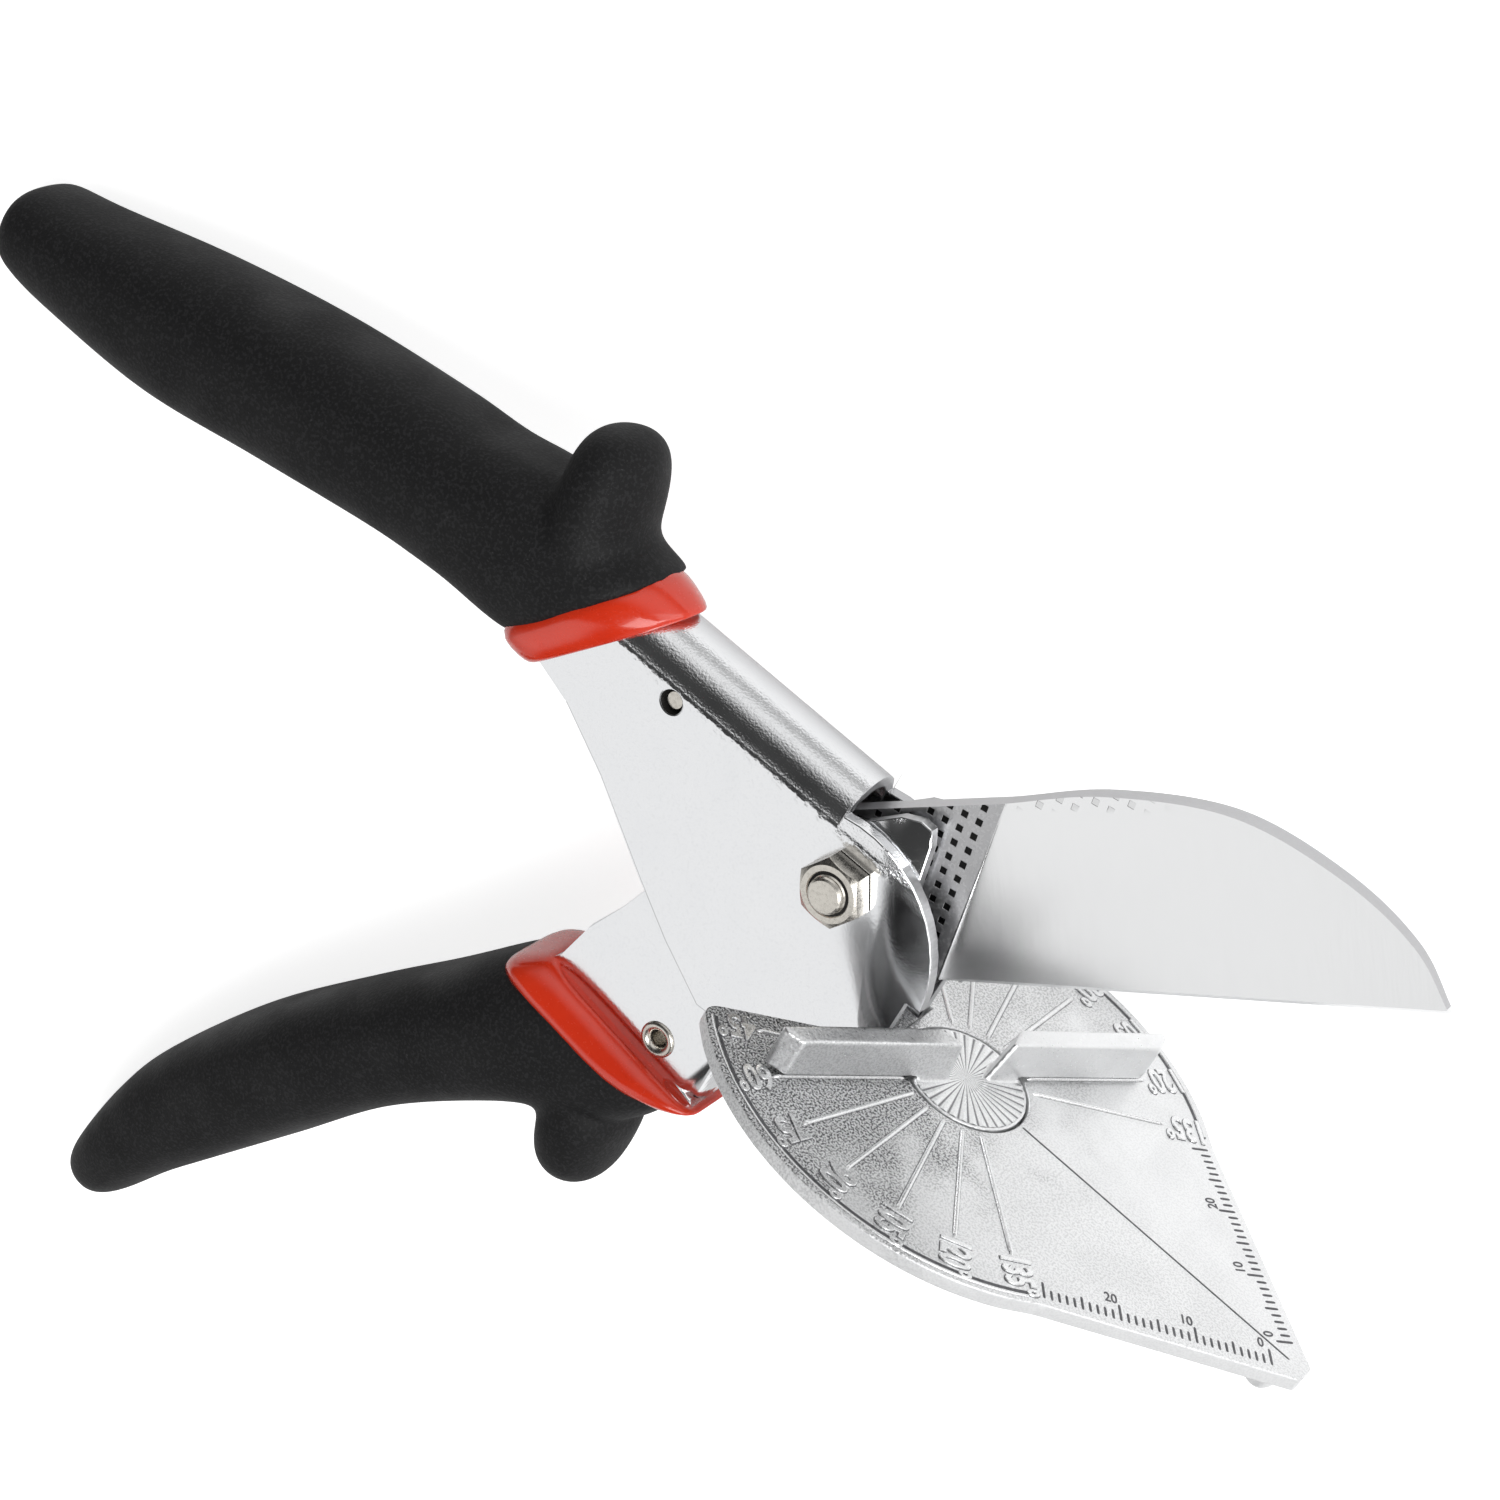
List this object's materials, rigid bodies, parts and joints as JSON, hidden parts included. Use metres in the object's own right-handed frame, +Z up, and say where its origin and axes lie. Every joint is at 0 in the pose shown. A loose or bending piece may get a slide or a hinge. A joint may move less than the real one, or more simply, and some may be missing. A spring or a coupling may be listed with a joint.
{
  "type": "mitre shears",
  "caption": "Hand shears with a sprung swinging blade, a cast protractor table with a swivel fence for cutting mouldings at an angle, and two grip handles.",
  "frame": {"origin": "bottom centre of the bounding box: the shears lie on one side, on the far ear of the table and the two grips", "axes": "+X from the grips towards the table's tip, +Y from the lower handle towards the upper handle, +Z up, out of the near side"},
  "size_m": [0.2272, 0.1756, 0.0697],
  "materials": {
    "plated_steel": "bright nickel plate on folded sheet steel",
    "red_plastic": "smooth gloss, moulded",
    "black_rubber": "matte, finely speckled soft moulding",
    "cast_zinc": "bright granular die casting",
    "nickel_steel": "warm satin nickel plate",
    "spring_steel": "bare drawn steel",
    "bronze": "plain turned bearing bronze",
    "blade_steel": "satin ground steel, brighter on the ground front and the edge"
  },
  "bodies": {
    "anvil_handle": {"upper_channel": "plated_steel", "upper_collar": "red_plastic", "upper_grip": "black_rubber", "table": "cast_zinc", "table_rivet_front": "nickel_steel", "table_rivet_rear": "nickel_steel", "spring_anchor_pin": "nickel_steel", "return_spring": "spring_steel", "pivot_bolt": "nickel_steel", "pivot_nut": "nickel_steel", "pivot_bush": "bronze"},
    "blade_handle": {"lower_channel": "plated_steel", "lower_collar": "red_plastic", "lower_grip": "black_rubber", "blade": "blade_steel", "blade_pin": "nickel_steel", "blade_shim_near": "spring_steel", "blade_shim_far": "spring_steel", "hollow_rivet": "nickel_steel"},
    "fence": {"fence": "cast_zinc", "fence_screw": "nickel_steel", "fence_washer": "nickel_steel", "fence_spring_washer": "spring_steel"}
  },
  "joints": [
    {"name": "handle_pivot", "type": "hinge", "parent": "anvil_handle", "child": "blade_handle", "pos_m": [0.03667, 0.04669, 0.03231], "axis": [0.16, 0.0946, -0.9826], "range_deg": [0, 39.6], "stiffness_Nm_per_rad": 1, "springref_deg": -34.38, "deforming": ["return_spring"]},
    {"name": "fence_swivel", "type": "hinge", "parent": "anvil_handle", "child": "fence", "pos_m": [0.06096, 0.03295, 0.03494], "axis": [-0.0152, 0.9955, 0.0933], "range_deg": [-15, 75]}
  ]
}
